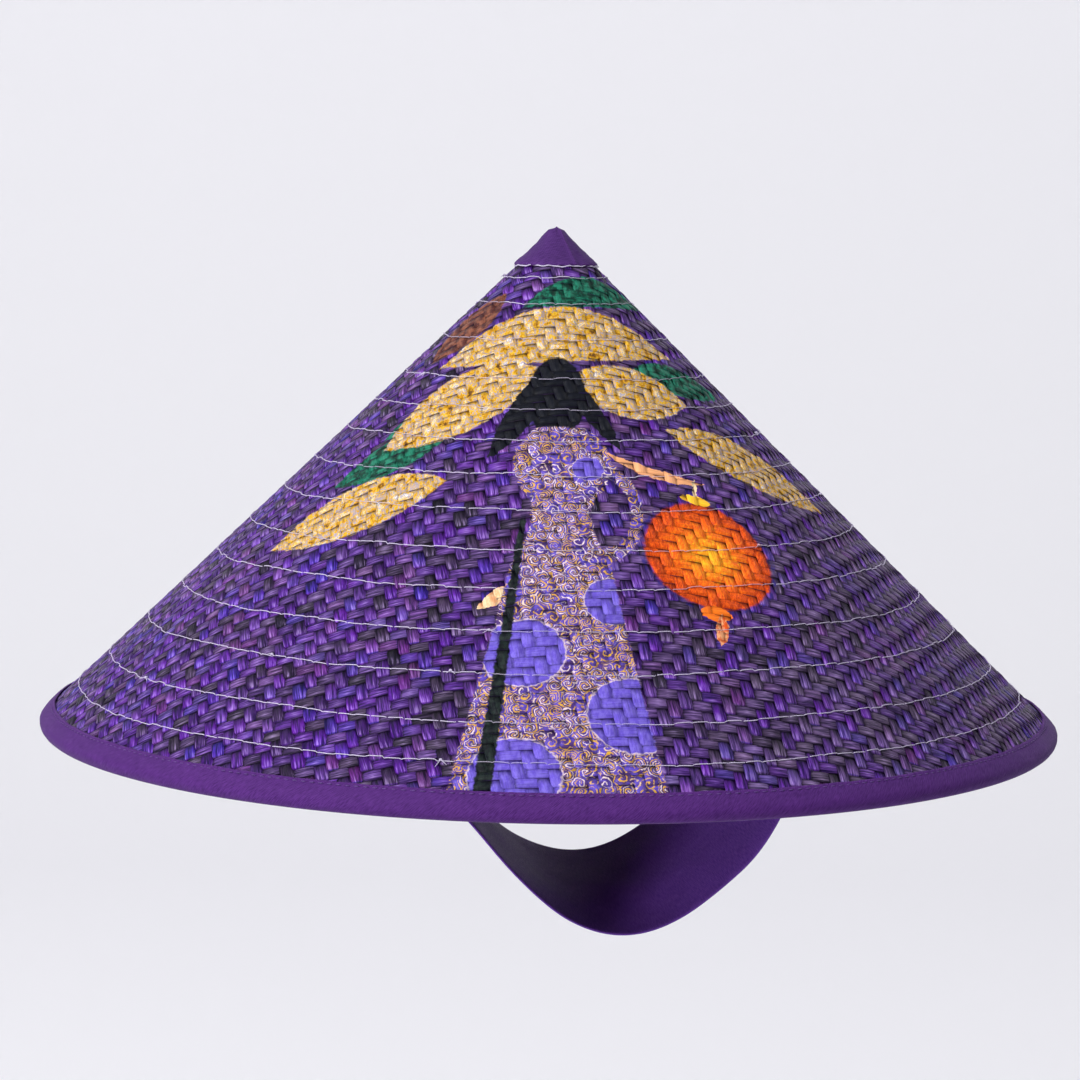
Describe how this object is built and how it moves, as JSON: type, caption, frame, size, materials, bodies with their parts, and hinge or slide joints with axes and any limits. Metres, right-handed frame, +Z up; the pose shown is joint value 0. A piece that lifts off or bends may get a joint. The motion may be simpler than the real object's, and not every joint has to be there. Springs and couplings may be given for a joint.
{
  "type": "conical hat",
  "caption": "Woven conical sun hat, purple with a painted front, sewn over bamboo hoops, with a bound rim, a cloth tip cap and a wide cloth chin strap that swings under it.",
  "frame": {"origin": "centre of the hoop that the wearer's head bears on, on the hat's axis", "axes": "+Z up along the cone's axis to the tip, -Y to the painted front, +X to the right as seen from the front"},
  "size_m": [0.4003, 0.4004, 0.2793],
  "materials": {
    "woven_mat": "flat dyed sedge strips in a two over two under weave, painted on the front",
    "binding_cloth": "purple cotton tape, matte, fine weave",
    "white_thread": "off-white sewing thread",
    "purple_thread": "purple sewing thread and tie cord",
    "bamboo": "split bamboo, bare, fine lengthwise fibres",
    "strap_cloth": "dark purple cotton satin, doubled, soft sheen"
  },
  "bodies": {
    "hat": {"woven_shell": "woven_mat", "seam_thread": "white_thread", "tip_cap": "binding_cloth", "tip_cap_thread": "white_thread", "hoop_01": "bamboo", "hoop_02": "bamboo", "hoop_03": "bamboo", "hoop_04": "bamboo", "hoop_05": "bamboo", "hoop_06": "bamboo", "hoop_07": "bamboo", "hoop_08": "bamboo", "hoop_09": "bamboo", "hoop_10": "bamboo", "hoop_11": "bamboo", "hoop_12": "bamboo", "hoop_13": "bamboo", "hoop_14": "bamboo", "thread_ring_01": "white_thread", "thread_ring_02": "white_thread", "thread_ring_03": "white_thread", "thread_ring_04": "white_thread", "thread_ring_05": "white_thread", "thread_ring_06": "white_thread", "thread_ring_07": "white_thread", "thread_ring_08": "white_thread", "thread_ring_09": "white_thread", "thread_ring_10": "white_thread", "thread_ring_11": "white_thread", "thread_ring_12": "white_thread", "thread_ring_13": "white_thread", "thread_ring_14": "white_thread", "rim_hoop": "bamboo", "rim_binding": "binding_cloth", "binding_thread": "purple_thread", "strap_loop_left": "purple_thread", "strap_loop_right": "purple_thread"},
    "strap": {"chin_strap": "strap_cloth"}
  },
  "joints": [
    {"name": "strap_swing", "type": "hinge", "parent": "hat", "child": "strap", "pos_m": [0, 0, -0.03118], "axis": [0.9563, 0.2924, 0], "range_deg": [-50, 50]}
  ]
}
